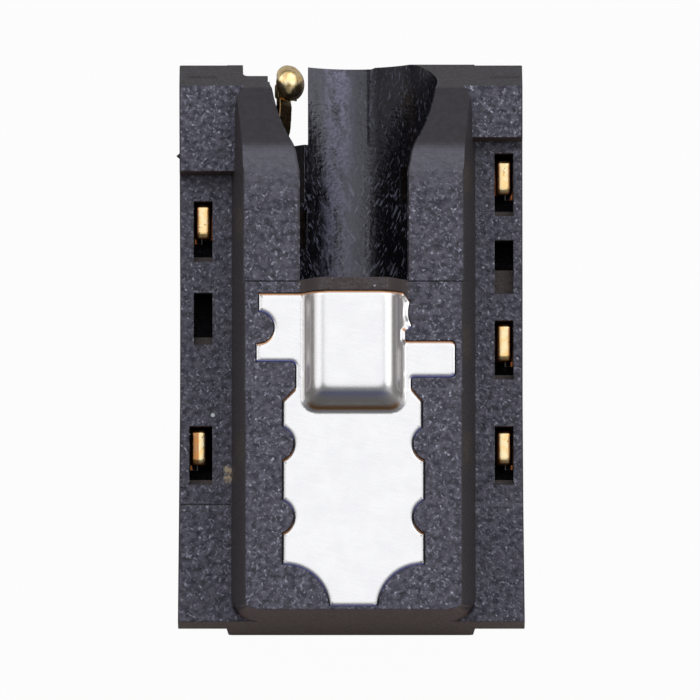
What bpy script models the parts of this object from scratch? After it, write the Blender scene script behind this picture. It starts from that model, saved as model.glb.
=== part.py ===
"""Low-profile board-mounted audio jack socket for a 3.5 mm four-pole plug.

The plug enters along +Y at the mouth. Each piece is drawn in the socket's own frame: X across,
Y along the bore from the mouth, Z up, with the origin on the bore's axis in the plane of the
mouth. The assembly then stands on the barrel's flat underside, centred along its length.
"""

import math

import bmesh
import bpy
from mathutils import Matrix, Vector

MM = 0.001

# Bore and barrel
BORE_RADIUS = 1.78 * MM
BORE_END = 7.72 * MM
TIP_BORE_RADIUS = 1.50 * MM
TIP_BORE_START = 7.90 * MM
TIP_BORE_END = 10.30 * MM
TIP_CONE_LENGTH = 0.65 * MM
TIP_CONE_RADIUS = 0.75 * MM
LENGTH = 12.11 * MM
BARREL_FLOOR = -2.08 * MM
BARREL_LEFT = 2.69 * MM
BARREL_RIGHT = 2.575 * MM
BARREL_DRAFT = 0.04 * MM
BARREL_EDGE_ROUND = 0.10 * MM
FRONT_STEP = 0.045 * MM
FRONT_STEP_HEIGHT = 0.15 * MM
FLOOR_STEP = 0.015 * MM
FLOOR_STEP_RAMP = (-0.50 * MM, -0.38 * MM)

# Ridge above the flanges: its three levels and the steps between them
RIDGE_FOOT = 2.585 * MM
RIDGE_DRAFT_DEG = 9.35
RIDGE_EDGE_ROUND = 0.05 * MM
TROUGH_TOP = 1.37 * MM
MIDDLE_TOP = 1.54 * MM
REAR_TOP = 1.60 * MM
MIDDLE_START = 5.10 * MM
REAR_START = 7.40 * MM
STEP_DRAFT = 0.02 * MM
GROOVE_WIDTH = 0.038 * MM
GROOVE_DEPTH = 0.05 * MM
END_CORNER_FOOT = (0.57 * MM, 0.45 * MM)
END_CORNER_TOP = (0.36 * MM, 0.15 * MM)

# Flanges that rest on the board
FLANGE_TOP = -0.13 * MM
FLANGE_UNDERSIDE = -1.17 * MM
LEFT_REACH = 3.70 * MM
LEFT_WAIST = 3.668 * MM
LEFT_REAR = 3.717 * MM
LEFT_WAIST_AT = 6.50 * MM
RIGHT_REACH = 3.583 * MM
RIGHT_REAR = 3.624 * MM
RIGHT_FLARE_START = 8.50 * MM
FLANGE_EDGE_ROUND = 0.04 * MM
FLANGE_STEP_START = 9.61 * MM
FLANGE_STEP_DEPTH = 0.03 * MM

# Blocks beside the mouth and the sloping nose
BLOCK_TOP = 0.27 * MM
LEFT_BLOCK_LENGTH = 2.54 * MM
RIGHT_BLOCK_LENGTH = 1.81 * MM
NOSE_BREAK = (0.755 * MM, 0.43 * MM)
NOSE_BREAK_ROUND = 0.20 * MM
NOSE_CROWN = (2.15 * MM, 1.285 * MM)
NOSE_CROWN_ROUND = 0.80 * MM
NOSE_END = 2.85 * MM
ARM_CORNER_RADIUS = 1.12 * MM
ARM_CORNER_SWEEP_DEG = 50
ARM_CORNER_START = 1.30 * MM
ARM_END = 0.355 * MM
ARM_END_OUTER = 2.35 * MM
ARM_END_ROUND = 0.10 * MM
NOTCH_INNER_GAP = 0.025 * MM
NOTCH_OUTER_GAP = 0.081 * MM
NOTCH_LENGTH = 1.66 * MM
NOTCH_ROUND = 0.08 * MM

# Cover plate: thickness, outline and scallops
PLATE_THICKNESS = 0.12 * MM
PLATE_TOP = MIDDLE_TOP
PLATE_FRONT = 5.356 * MM
PLATE_END = 12.03 * MM
PLATE_SIDE = 1.495 * MM
PLATE_RIGHT_HIP = 1.447 * MM
PLATE_RIGHT_HIP_END = 8.50 * MM
PLATE_WAIST = 1.213 * MM
PLATE_WAIST_END = 7.38 * MM
PLATE_HIP_START = 7.66 * MM
PLATE_LEFT_EDGE = 2.00 * MM
PLATE_LEFT_TOE = 2.053 * MM
PLATE_LEFT_END = 6.80 * MM
PLATE_TAB_REACH = 2.145 * MM
PLATE_TAB_START = 6.379 * MM
PLATE_TAB_END = 7.134 * MM
PLATE_NICK = 1.085 * MM
PLATE_NICK_START = 6.17 * MM
PLATE_BULGE = 1.231 * MM
PLATE_BULGE_AT = 6.06 * MM
PLATE_RIGHT_EDGE = 1.15 * MM
PLATE_RIGHT_DIP = (5.70 * MM, 5.84 * MM)
PLATE_SHOULDER = 1.185 * MM
PLATE_SHOULDER_AT = 5.53 * MM
PLATE_RIGHT_FRONT = 1.03 * MM
PLATE_CORNER_ROUND = 0.11 * MM
PLATE_HIP_ROUND = 0.12 * MM
PLATE_TOE_ROUND = 0.03 * MM
EYE_X = 2.023 * MM
EYE_Y = 6.078 * MM
EYE_RADIUS = 0.353 * MM
SCALLOP_X = 1.64 * MM
SCALLOP_ROWS = (8.567 * MM, 10.129 * MM)
SCALLOP_RADIUS = 0.39 * MM
CORNER_SCALLOP_X = 1.46 * MM
CORNER_SCALLOP_Y = 12.10 * MM
CORNER_SCALLOP_RADIUS = 0.957 * MM
SEAT_CLEARANCE = 0.02 * MM

# Raised channel of the cover plate, over the plug
CHANNEL_RISE = 0.38 * MM
CHANNEL_HALF_WIDTH = 1.15 * MM
CHANNEL_CROWN_HALF_WIDTH = 0.68 * MM
CHANNEL_END = 7.94 * MM
CHANNEL_CROWN_END = 7.47 * MM
CHANNEL_FOOT_ROUND = 0.32 * MM
CHANNEL_CROWN_ROUND = 0.16 * MM
CHANNEL_WALL = 0.10 * MM
CHANNEL_LEVELS = 8

# Windows in the flanges and the blind slots under them
WINDOW_INNER = 2.99 * MM
WINDOW_OUTER = 3.385 * MM
WINDOW_FLOOR = -0.85 * MM
EMPTY_WINDOW_FLOOR = -1.00 * MM
LEDGE_HEIGHT = -0.42 * MM
LEDGE_LENGTH = 0.14 * MM

# Side contacts: bent strip of plated copper alloy
STRIP_THICKNESS = 0.10 * MM
OUTER_LEG = 3.28 * MM
FOLD_RADIUS = 0.09 * MM
FOLD_HEIGHT = -0.36 * MM
INNER_LEG_END = -0.50 * MM
ELBOW = (2.85 * MM, -0.86 * MM)
BUMP_ANGLE_DEG = 40.0
RING_BUMP_RADIUS = 1.60 * MM
TIP_BUMP_RADIUS = 1.17 * MM
BUMP_LEAD = (0.50 * MM, -0.25 * MM)
BUMP_TAIL = (-0.15 * MM, -0.40 * MM)
STRIP_BEND = 0.12 * MM
FOOT_SETBACK = 0.05 * MM
POCKET_SIDE_GAP = 0.04 * MM
POCKET_END_GAP = 0.025 * MM
POCKET_HEEL = (3.52 * MM, -0.90 * MM)
POCKET_WEB_OUTER = 3.21 * MM
POCKET_WEB_INNER = 2.66 * MM
POCKET_WEB_TOP = -1.105 * MM
POCKET_HAUNCH = (2.44 * MM, -1.22 * MM)
POCKET_KNEE = (2.07 * MM, -1.72 * MM)
POCKET_TOE = (1.87 * MM, -1.84 * MM)
POCKET_ROOF = -0.62 * MM
POCKET_MOUTH = (1.50 * MM, -0.74 * MM)
POCKET_END_ROOF = -0.52 * MM
FOOT_ROOM = 0.12 * MM

# Sleeve contact: a spring that runs along the bore, with a rounded head at the mouth
SLEEVE_THICKNESS = 0.12 * MM
SLEEVE_ARM_RADIUS = 1.95 * MM
SLEEVE_ROOT_DROP = 1.3048 * MM
SLEEVE_FRONT = 0.07 * MM
SLEEVE_HOOK_LIFT = 0.03 * MM
SLEEVE_HOOK_BEND = 0.125 * MM
SLEEVE_CREST_LIFT = 0.29 * MM
SLEEVE_CREST_AT = 0.50 * MM
SLEEVE_CREST_BEND = 0.25 * MM
SLEEVE_TAIL_LIFT = 0.20 * MM
SLEEVE_HEAD_END = 0.76 * MM
SLEEVE_HALF_WIDTH = 0.29 * MM
SLEEVE_HEAD_ROUND = 0.24 * MM
SLEEVE_LUG_WIDTH = 0.40 * MM
SLEEVE_LUG = (0.42 * MM, 0.72 * MM)
SLEEVE_LUG_ROUND = 0.04 * MM
SLEEVE_TAPER = ((0.85 * MM, -0.28 * MM), (1.34 * MM, -0.12 * MM), (1.66 * MM, 0.0 * MM))
SLEEVE_NECK_LENGTH = 0.14 * MM
SLEEVE_ROOT = 2.30 * MM
SLEEVE_ROOT_LENGTH = 0.46 * MM
SLEEVE_CHANNEL_INNER = 1.63 * MM
SLEEVE_CHANNEL_HALF_WIDTH = 0.37 * MM
SLEEVE_SWING_ROOM = 0.39 * MM
SLEEVE_FOOT_GAP = 0.17 * MM
SLEEVE_RELIEF_REACH = 0.15 * MM
SLEEVE_RELIEF_ENDS = (0.25 * MM, 0.95 * MM)
SLEEVE_RELIEF_TOP = -0.70 * MM

# Facets of round forms
BORE_FACETS = 96
SCALLOP_FACETS = 48
ROUND_STEPS = 5
PAST = 1.0 * MM
WELD_DISTANCE = 0.0004 * MM

LEFT, RIGHT = 1, -1

# Each side contact's window (start and end), strip (start and width) and outward shift
DETECT_WINDOW = (3.10 * MM, 4.40 * MM)
DETECT_STRIP = (3.12 * MM, 0.77 * MM)
TIP_WINDOW = (7.93 * MM, 9.18 * MM)
TIP_STRIP = (7.955 * MM, 0.79 * MM)
TIP_SHIFT = 0.09 * MM
RING_TWO_WINDOW = (2.07 * MM, 3.42 * MM)
RING_TWO_STRIP = (2.17 * MM, 0.77 * MM)
RING_ONE_WINDOW = (5.66 * MM, 6.93 * MM)
RING_ONE_STRIP = (5.68 * MM, 0.84 * MM)
TIP_SWITCH_WINDOW = (7.93 * MM, 9.18 * MM)
TIP_SWITCH_STRIP = (7.975 * MM, 0.76 * MM)

# Windows with no contact: start, end and the length of the ledge in their far end
LEFT_EMPTY = (5.07 * MM, 6.18 * MM, 0.20 * MM)
RIGHT_EMPTY = (3.94 * MM, 5.09 * MM, 0.55 * MM)

# name, side, window, strip, outward shift, bump radius
SIDE_CONTACTS = (
    ("contact_detect", LEFT, DETECT_WINDOW, DETECT_STRIP, 0, RING_BUMP_RADIUS),
    ("contact_tip", LEFT, TIP_WINDOW, TIP_STRIP, TIP_SHIFT, TIP_BUMP_RADIUS),
    ("contact_ring_two", RIGHT, RING_TWO_WINDOW, RING_TWO_STRIP, 0, RING_BUMP_RADIUS),
    ("contact_ring_one", RIGHT, RING_ONE_WINDOW, RING_ONE_STRIP, 0, RING_BUMP_RADIUS),
    ("contact_tip_switch", RIGHT, TIP_SWITCH_WINDOW, TIP_SWITCH_STRIP, 0, TIP_BUMP_RADIUS),
)


def clear_scene():
    """Start from nothing."""
    for old in list(bpy.data.objects):
        bpy.data.objects.remove(old, do_unlink=True)


def rounded(corners):
    """An outline or a path from corners (u, v, radius), with each radius drawn as an arc."""
    points = []
    count = len(corners)
    for i, (u, v, radius) in enumerate(corners):
        here = Vector((u, v))
        if radius == 0:
            points.append((u, v))
            continue
        back = (Vector(corners[i - 1][:2]) - here).normalized()
        ahead = (Vector(corners[(i + 1) % count][:2]) - here).normalized()
        half = back.angle(ahead) / 2
        centre = here + (back + ahead).normalized() * (radius / math.sin(half))
        start = here + back * (radius / math.tan(half)) - centre
        end = here + ahead * (radius / math.tan(half)) - centre
        turn = start.angle_signed(end)
        for k in range(ROUND_STEPS + 1):
            angle = -turn * k / ROUND_STEPS
            spoke = Matrix.Rotation(angle, 2) @ start
            points.append(tuple(centre + spoke))
    return points


def arc(centre, radius, start_deg, end_deg, steps):
    """Points on an arc, both ends included."""
    points = []
    for k in range(steps + 1):
        angle = math.radians(start_deg + (end_deg - start_deg) * k / steps)
        points.append((centre[0] + radius * math.cos(angle), centre[1] + radius * math.sin(angle)))
    return points


def strip_outline(path, thickness):
    """The closed outline of a strip of even thickness along a path."""
    left, right = [], []
    for i, here in enumerate(path):
        here = Vector(here)
        before = (here - Vector(path[i - 1])).normalized() if i > 0 else None
        after = (Vector(path[i + 1]) - here).normalized() if i < len(path) - 1 else None
        before = before or after
        after = after or before
        along = (before + after).normalized()
        across = Vector((-along.y, along.x)) * (thickness / 2 / along.dot(before))
        left.append(tuple(here + across))
        right.append(tuple(here - across))
    return left + right[::-1]


def place(u, v, w, axis):
    """A point of an outline (u, v) at distance w along an axis."""
    if axis == "X":
        return (w, u, v)
    if axis == "Y":
        return (u, w, v)
    return (u, v, w)


def finish_mesh(bm, name):
    """A closed mesh with its faces pointing out, as a new object."""
    bmesh.ops.recalc_face_normals(bm, faces=bm.faces)
    mesh = bpy.data.meshes.new(name)
    bm.to_mesh(mesh)
    bm.free()
    made = bpy.data.objects.new(name, mesh)
    bpy.context.collection.objects.link(made)
    return made


def loft(name, rings):
    """A closed solid through rings with equal numbers of points."""
    bm = bmesh.new()
    loops = [[bm.verts.new(point) for point in ring] for ring in rings]
    for low, high in zip(loops, loops[1:]):
        for i in range(len(low)):
            j = (i + 1) % len(low)
            bm.faces.new((low[i], low[j], high[j], high[i]))
    bm.faces.new(loops[0])
    bm.faces.new(loops[-1])
    return finish_mesh(bm, name)


def prism(name, outline, axis, low, high):
    """An outline pushed along an axis."""
    return loft(name, [[place(u, v, w, axis) for u, v in outline] for w in (low, high)])


def cylinder(name, centre, radius, low, high):
    """An upright round post."""
    step = 360 / SCALLOP_FACETS
    outline = arc(centre, radius, 0, 360 - step, SCALLOP_FACETS - 1)
    return prism(name, outline, "Z", low, high)


def turned(name, profile):
    """A solid of revolution about the bore's axis, from (y, radius) pairs."""
    rings = []
    for y, radius in profile:
        angles = [2 * math.pi * k / BORE_FACETS for k in range(BORE_FACETS)]
        rings.append([(radius * math.cos(a), y, radius * math.sin(a)) for a in angles])
    return loft(name, rings)


def weld(mesh):
    """Join corners that a Boolean left a hair apart."""
    bm = bmesh.new()
    bm.from_mesh(mesh)
    bmesh.ops.remove_doubles(bm, verts=bm.verts, dist=WELD_DISTANCE)
    bmesh.ops.dissolve_degenerate(bm, edges=bm.edges, dist=WELD_DISTANCE)
    bm.to_mesh(mesh)
    bm.free()


def combine(target, other, operation):
    """Apply a Boolean of another object to the target, and drop the other."""
    step = target.modifiers.new("step", "BOOLEAN")
    step.operation = operation
    step.object = other
    bpy.context.view_layer.update()
    graph = bpy.context.evaluated_depsgraph_get()
    result = bpy.data.meshes.new_from_object(target.evaluated_get(graph))
    weld(result)
    old = target.data
    target.modifiers.clear()
    target.data = result
    bpy.data.meshes.remove(old)
    bpy.data.objects.remove(other, do_unlink=True)
    return target


def cut(target, other):
    return combine(target, other, "DIFFERENCE")


def add(target, other):
    return combine(target, other, "UNION")


def keep_common(target, other):
    return combine(target, other, "INTERSECT")


def ridge_side(z):
    """How far the ridge's drafted side stands from the axis at a height."""
    return RIDGE_FOOT - (z - FLANGE_TOP) * math.tan(math.radians(RIDGE_DRAFT_DEG))


def between(y, stops):
    """A value at a place along the bore, straight between its (place, value) stops."""
    for (start, low), (end, high) in zip(stops, stops[1:]):
        if y <= end:
            return low + (high - low) * max(0, y - start) / (end - start)
    return stops[-1][1]


def flange_reach(side, y):
    """How far a flange's edge stands from the axis: both waver a little along their length."""
    if side == LEFT:
        return between(y, ((0, LEFT_REACH), (LEFT_WAIST_AT, LEFT_WAIST), (LENGTH, LEFT_REAR)))
    return between(y, ((0, RIGHT_REACH), (RIGHT_FLARE_START, RIGHT_REACH), (LENGTH, RIGHT_REAR)))


def housing_section(y, top, left_top, right_top):
    """The housing's outline across the bore, at given heights of the ridge and both flanges."""
    side = ridge_side(top)
    left, right = flange_reach(LEFT, y), flange_reach(RIGHT, y)
    outline = rounded([
        (-BARREL_RIGHT + BARREL_DRAFT, BARREL_FLOOR, BARREL_EDGE_ROUND),
        (BARREL_LEFT - BARREL_DRAFT, BARREL_FLOOR, BARREL_EDGE_ROUND),
        (BARREL_LEFT, FLANGE_UNDERSIDE, 0),
        (left, FLANGE_UNDERSIDE, FLANGE_EDGE_ROUND),
        (left, left_top, FLANGE_EDGE_ROUND),
        (ridge_side(left_top), left_top, 0),
        (side, top, RIDGE_EDGE_ROUND),
        (-side, top, RIDGE_EDGE_ROUND),
        (-ridge_side(right_top), right_top, 0),
        (-right, right_top, FLANGE_EDGE_ROUND),
        (-right, FLANGE_UNDERSIDE, FLANGE_EDGE_ROUND),
        (-BARREL_RIGHT, FLANGE_UNDERSIDE, 0),
    ])
    return [(x, y, z) for x, z in outline]


def housing_blank():
    """Barrel, flanges, mouth blocks and the ridge's three levels, before anything is cut."""
    rear_flange = FLANGE_TOP - FLANGE_STEP_DEPTH
    levels = (
        (RIGHT_BLOCK_LENGTH, (TROUGH_TOP, BLOCK_TOP, BLOCK_TOP)),
        (LEFT_BLOCK_LENGTH, (TROUGH_TOP, BLOCK_TOP, FLANGE_TOP)),
        (MIDDLE_START, (TROUGH_TOP, FLANGE_TOP, FLANGE_TOP)),
        (REAR_START, (MIDDLE_TOP, FLANGE_TOP, FLANGE_TOP)),
        (FLANGE_STEP_START, (REAR_TOP, FLANGE_TOP, FLANGE_TOP)),
        (LENGTH + STEP_DRAFT, (REAR_TOP, rear_flange, FLANGE_TOP)),
    )
    rings = []
    start = -PAST
    for end, heights in levels:
        rings.append(housing_section(start, *heights))
        rings.append(housing_section(end - STEP_DRAFT, *heights))
        start = end
    return loft("housing", rings)


def nose_cutter():
    """Everything in front of the mouth and above the sloping nose."""
    outline = rounded([
        (-2 * PAST, BARREL_FLOOR - PAST, 0),
        (-FRONT_STEP, BARREL_FLOOR - PAST, 0),
        (-FRONT_STEP, FLANGE_UNDERSIDE - FRONT_STEP_HEIGHT, 0),
        (0, FLANGE_UNDERSIDE, 0),
        (*NOSE_BREAK, NOSE_BREAK_ROUND),
        (*NOSE_CROWN, NOSE_CROWN_ROUND),
        (NOSE_END, TROUGH_TOP + SEAT_CLEARANCE, 0),
        (NOSE_END, REAR_TOP + PAST, 0),
        (-2 * PAST, REAR_TOP + PAST, 0),
    ])
    return prism("nose", outline, "X", -LEFT_REACH - PAST, LEFT_REACH + PAST)


def floor_step_cutter():
    """Sets the left part of the barrel's front a little back from the right part."""
    reach = LEFT_REACH + PAST
    outline = [
        (FLOOR_STEP_RAMP[0], -FRONT_STEP - FLOOR_STEP),
        (FLOOR_STEP_RAMP[0], -PAST),
        (reach, -PAST),
        (reach, -FLOOR_STEP),
        (FLOOR_STEP_RAMP[1], -FLOOR_STEP),
    ]
    return prism("floor_step", outline, "Z", BARREL_FLOOR - PAST, 0)


def arm_corner_cutter(side):
    """Rounds an arm's outer corner above the block, seen from above."""
    edge = ridge_side(BLOCK_TOP)
    centre = (edge - ARM_CORNER_RADIUS, ARM_CORNER_START)
    curve = arc(centre, ARM_CORNER_RADIUS, 0, -ARM_CORNER_SWEEP_DEG, 2 * ROUND_STEPS)
    outside = edge + RIDGE_EDGE_ROUND * 4
    outline = curve + [(outside, curve[-1][1]), (outside, ARM_CORNER_START)]
    outline = [(side * x, y) for x, y in outline]
    return prism("arm_corner", outline, "Z", BLOCK_TOP, REAR_TOP + PAST)


def end_corner(side, z, size, beyond):
    """The outline outside a ridge corner at the closed end, rounded across and along."""
    edge = ridge_side(z)
    across, along = size
    points = []
    for k in range(ROUND_STEPS + 1):
        angle = math.radians(90 * k / ROUND_STEPS)
        x = edge - across * (1 - math.cos(angle))
        points.append((side * x, LENGTH - along * (1 - math.sin(angle)), z))
    points.append((side * (edge - across), LENGTH + beyond, z))
    points.append((side * (edge + beyond), LENGTH + beyond, z))
    points.append((side * (edge + beyond), LENGTH - along, z))
    return points


def end_corner_cutter(side):
    """Rounds a ridge corner at the closed end, more so at its foot than at its top."""
    beyond = RIDGE_EDGE_ROUND * 4
    low = end_corner(side, FLANGE_TOP, END_CORNER_FOOT, beyond)
    high = end_corner(side, REAR_TOP, END_CORNER_TOP, beyond)
    grow = 1 + beyond / (REAR_TOP - FLANGE_TOP)
    high = [[a + (b - a) * grow for a, b in zip(p, q)] for p, q in zip(low, high)]
    return loft("end_corner", [low, high])


def step_groove_cutter(side):
    """The fine groove across the arm at the foot of the step."""
    end = MIDDLE_START - STEP_DRAFT / 2
    reach = ridge_side(FLANGE_TOP)
    outline = [
        (CHANNEL_HALF_WIDTH + SEAT_CLEARANCE, end - GROOVE_WIDTH),
        (reach, end - GROOVE_WIDTH),
        (reach, end),
        (CHANNEL_HALF_WIDTH + SEAT_CLEARANCE, end),
    ]
    outline = [(side * x, y) for x, y in outline]
    return prism("groove", outline, "Z", TROUGH_TOP - GROOVE_DEPTH, REAR_TOP + PAST)


def sleeve_angle():
    """How far round the bore the sleeve contact lies, so that its root meets its foot."""
    return math.asin(SLEEVE_ROOT_DROP / SLEEVE_ARM_RADIUS)


def notch_sides():
    """The notch's inner and outer side, each a clearance away from the sleeve contact's head."""
    angle = sleeve_angle()
    half = SLEEVE_THICKNESS / 2
    crest = SLEEVE_ARM_RADIUS - SLEEVE_CREST_LIFT - half
    hook = SLEEVE_ARM_RADIUS - SLEEVE_HOOK_LIFT + half
    inner = crest * math.cos(angle) - SLEEVE_HALF_WIDTH * math.sin(angle)
    outer = hook * math.cos(angle) + SLEEVE_LUG_WIDTH * math.sin(angle)
    return inner - NOTCH_INNER_GAP, outer + NOTCH_OUTER_GAP


def left_end_cutter():
    """The left arm ends short of the flange."""
    inner = notch_sides()[1] - ARM_END_ROUND
    outline = rounded([
        (inner, -PAST, 0),
        (ARM_END_OUTER, -PAST, 0),
        (ARM_END_OUTER, ARM_END, ARM_END_ROUND),
        (inner, ARM_END, 0),
    ])
    return prism("arm_end", outline, "Z", BARREL_FLOOR - PAST, REAR_TOP + PAST)


def notch_cutter():
    """The opening through the bore's floor that the sleeve contact stands in."""
    inner, outer = notch_sides()
    outline = rounded([
        (inner, -PAST, 0),
        (outer, -PAST, 0),
        (outer, NOTCH_LENGTH, NOTCH_ROUND),
        (inner, NOTCH_LENGTH, NOTCH_ROUND / 4),
    ])
    return prism("notch", outline, "Z", BARREL_FLOOR - PAST, 0)


def bore_cutter():
    """The plug's bore, narrower for the tip, with a coned end."""
    return turned("bore", [
        (-2 * PAST, BORE_RADIUS),
        (BORE_END, BORE_RADIUS),
        (TIP_BORE_START, TIP_BORE_RADIUS),
        (TIP_BORE_END, TIP_BORE_RADIUS),
        (TIP_BORE_END + TIP_CONE_LENGTH, TIP_CONE_RADIUS),
    ])


def channel_height(share):
    """Height of the channel's outer surface at a share of the way up its flank."""
    return PLATE_TOP + CHANNEL_RISE * share * share * (3 - 2 * share)


def channel_half_width(share):
    return CHANNEL_HALF_WIDTH + (CHANNEL_CROWN_HALF_WIDTH - CHANNEL_HALF_WIDTH) * share


def lip():
    """The arched rim of plastic in front of the plate, flush with its channel."""
    flank = [(CHANNEL_HALF_WIDTH, 0), (CHANNEL_HALF_WIDTH, MIDDLE_TOP - PLATE_THICKNESS / 2)]
    for k in range(1, CHANNEL_LEVELS + 1):
        share = k / CHANNEL_LEVELS
        flank.append((channel_half_width(share), channel_height(share)))
    outline = flank + [(-x, z) for x, z in reversed(flank)]
    return prism("lip", outline, "Y", MIDDLE_START - 2 * STEP_DRAFT, PLATE_FRONT + PLATE_THICKNESS)


def channel_ring(share, inset, drop):
    """One level of the channel, open towards the mouth and rounded at its end."""
    half = channel_half_width(share) - inset
    end = CHANNEL_END + (CHANNEL_CROWN_END - CHANNEL_END) * share - inset
    radius = CHANNEL_FOOT_ROUND + (CHANNEL_CROWN_ROUND - CHANNEL_FOOT_ROUND) * share - inset / 2
    front = PLATE_FRONT - PAST
    outline = rounded([(-half, front, 0), (half, front, 0), (half, end, radius), (-half, end, radius)])
    return [(x, y, channel_height(share) - drop) for x, y in outline]


def channel_body(name, inset, drop, base):
    """The channel's outer or inner form as a solid."""
    rings = [channel_ring(k / CHANNEL_LEVELS, inset, drop) for k in range(CHANNEL_LEVELS + 1)]
    rings[0] = [(x, y, base) for x, y, _ in rings[0]]
    return loft(name, rings)


def plate_outline(grow):
    """The plate's outline from above, grown by a clearance."""
    g = grow
    corner = PLATE_CORNER_ROUND
    return rounded([
        (-PLATE_RIGHT_FRONT - g, PLATE_FRONT - g, 0),
        (PLATE_LEFT_EDGE + g, PLATE_FRONT - g, 0),
        (PLATE_LEFT_EDGE + g, EYE_Y, 0),
        (PLATE_LEFT_TOE + g, EYE_Y, 0),
        (PLATE_LEFT_TOE + g, PLATE_LEFT_END + g, PLATE_TOE_ROUND),
        (PLATE_WAIST + g, PLATE_LEFT_END + g, corner),
        (PLATE_WAIST + g, PLATE_WAIST_END, PLATE_HIP_ROUND),
        (PLATE_SIDE + g, PLATE_HIP_START, PLATE_HIP_ROUND),
        (PLATE_SIDE + g, PLATE_END + g, 0),
        (-PLATE_SIDE - g, PLATE_END + g, 0),
        (-PLATE_SIDE - g, PLATE_RIGHT_HIP_END, 0),
        (-PLATE_RIGHT_HIP - g, PLATE_RIGHT_HIP_END, 0),
        (-PLATE_RIGHT_HIP - g, PLATE_HIP_START, PLATE_HIP_ROUND),
        (-PLATE_WAIST - g, PLATE_WAIST_END, corner / 2),
        (-PLATE_WAIST - g, PLATE_TAB_END + g, corner / 2),
        (-PLATE_TAB_REACH - g, PLATE_TAB_END + g, corner),
        (-PLATE_TAB_REACH - g, PLATE_TAB_START - g, corner),
        (-PLATE_NICK - g, PLATE_TAB_START - g, PLATE_TOE_ROUND),
        (-PLATE_NICK - g, PLATE_NICK_START, PLATE_TOE_ROUND),
        (-PLATE_BULGE - g, PLATE_BULGE_AT, PLATE_TOE_ROUND),
        (-PLATE_RIGHT_EDGE - g, PLATE_RIGHT_DIP[1], 0),
        (-PLATE_RIGHT_EDGE - g, PLATE_RIGHT_DIP[0], 0),
        (-PLATE_SHOULDER - g, PLATE_SHOULDER_AT, PLATE_TOE_ROUND),
    ])


def plate_column(name, grow, low, high):
    """The plate's outline as an upright column, less the round plastic bosses beside it."""
    column = prism(name, plate_outline(grow), "Z", low, high)
    bosses = [(EYE_X, EYE_Y, EYE_RADIUS)]
    for side in (LEFT, RIGHT):
        bosses += [(side * SCALLOP_X, y, SCALLOP_RADIUS) for y in SCALLOP_ROWS]
        bosses.append((side * CORNER_SCALLOP_X, CORNER_SCALLOP_Y, CORNER_SCALLOP_RADIUS))
    for x, y, radius in bosses:
        cut(column, cylinder("boss", (x, y), radius - grow, low - PAST, high + PAST))
    return column


def make_cover_plate():
    """The stamped plate with its raised channel."""
    underside = PLATE_TOP - PLATE_THICKNESS
    reach = PLATE_TAB_REACH + PAST
    sheet = [
        (-reach, PLATE_FRONT - PAST),
        (reach, PLATE_FRONT - PAST),
        (reach, PLATE_END + PAST),
        (-reach, PLATE_END + PAST),
    ]
    plate = prism("cover_plate", sheet, "Z", underside, PLATE_TOP)
    middle = (underside + PLATE_TOP) / 2
    add(plate, channel_body("channel_outside", 0, 0, middle))
    cut(plate, channel_body("channel_inside", CHANNEL_WALL, PLATE_THICKNESS, underside - PAST))
    keep_common(plate, plate_column("outline", 0, underside - PAST, PLATE_TOP + PAST))
    return plate


def window_cutter(side, start, end, shift, floor, ledge):
    """The blind slot that opens in a flange's upper face, with a ledge at its far end."""
    top = FLANGE_TOP + PAST / 2
    outline = [
        (start, floor),
        (end - ledge, floor),
        (end - ledge, LEDGE_HEIGHT),
        (end, LEDGE_HEIGHT),
        (end, top),
        (start, top),
    ]
    low, high = sorted((side * WINDOW_INNER, side * (WINDOW_OUTER + shift)))
    return prism("window", outline, "X", low, high)


def bump_corner(bump_radius):
    """Where a side contact's bump points at the plug."""
    angle = math.radians(BUMP_ANGLE_DEG)
    return (bump_radius * math.cos(angle), -bump_radius * math.sin(angle))


def side_strip_path(reach, shift, bump_radius):
    """The middle line of a side contact, from its solder foot to its tail inside the bore."""
    foot = FLANGE_UNDERSIDE + STRIP_THICKNESS / 2
    crest = FOLD_HEIGHT + FOLD_RADIUS
    outer_leg = OUTER_LEG + shift
    inner_leg = outer_leg - 2 * FOLD_RADIUS
    bump = bump_corner(bump_radius)
    fold = FOLD_RADIUS * 0.999
    return rounded([
        (reach - FOOT_SETBACK, foot, 0),
        (outer_leg, foot, STRIP_BEND),
        (outer_leg, crest, fold),
        (inner_leg, crest, fold),
        (inner_leg, INNER_LEG_END, STRIP_BEND),
        (*ELBOW, STRIP_BEND),
        (bump[0] + BUMP_LEAD[0], bump[1] + BUMP_LEAD[1], STRIP_BEND),
        (*bump, STRIP_BEND),
        (bump[0] + BUMP_TAIL[0], bump[1] + BUMP_TAIL[1], 0),
    ])


def side_hinge(side, start, width, shift):
    """The middle of a side contact's fold, which its arm springs about."""
    return Vector((side * (OUTER_LEG + shift - FOLD_RADIUS), start + width / 2, FOLD_HEIGHT))


def make_side_contact(name, side, start, width, shift, bump_radius):
    """One bent strip: foot, outer leg, fold, inner leg and sprung arm with its bump."""
    reach = flange_reach(side, start)
    outline = strip_outline(side_strip_path(reach, shift, bump_radius), STRIP_THICKNESS)
    outline = [(side * x, z) for x, z in outline]
    return prism(name, outline, "Y", start, start + width)


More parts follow.
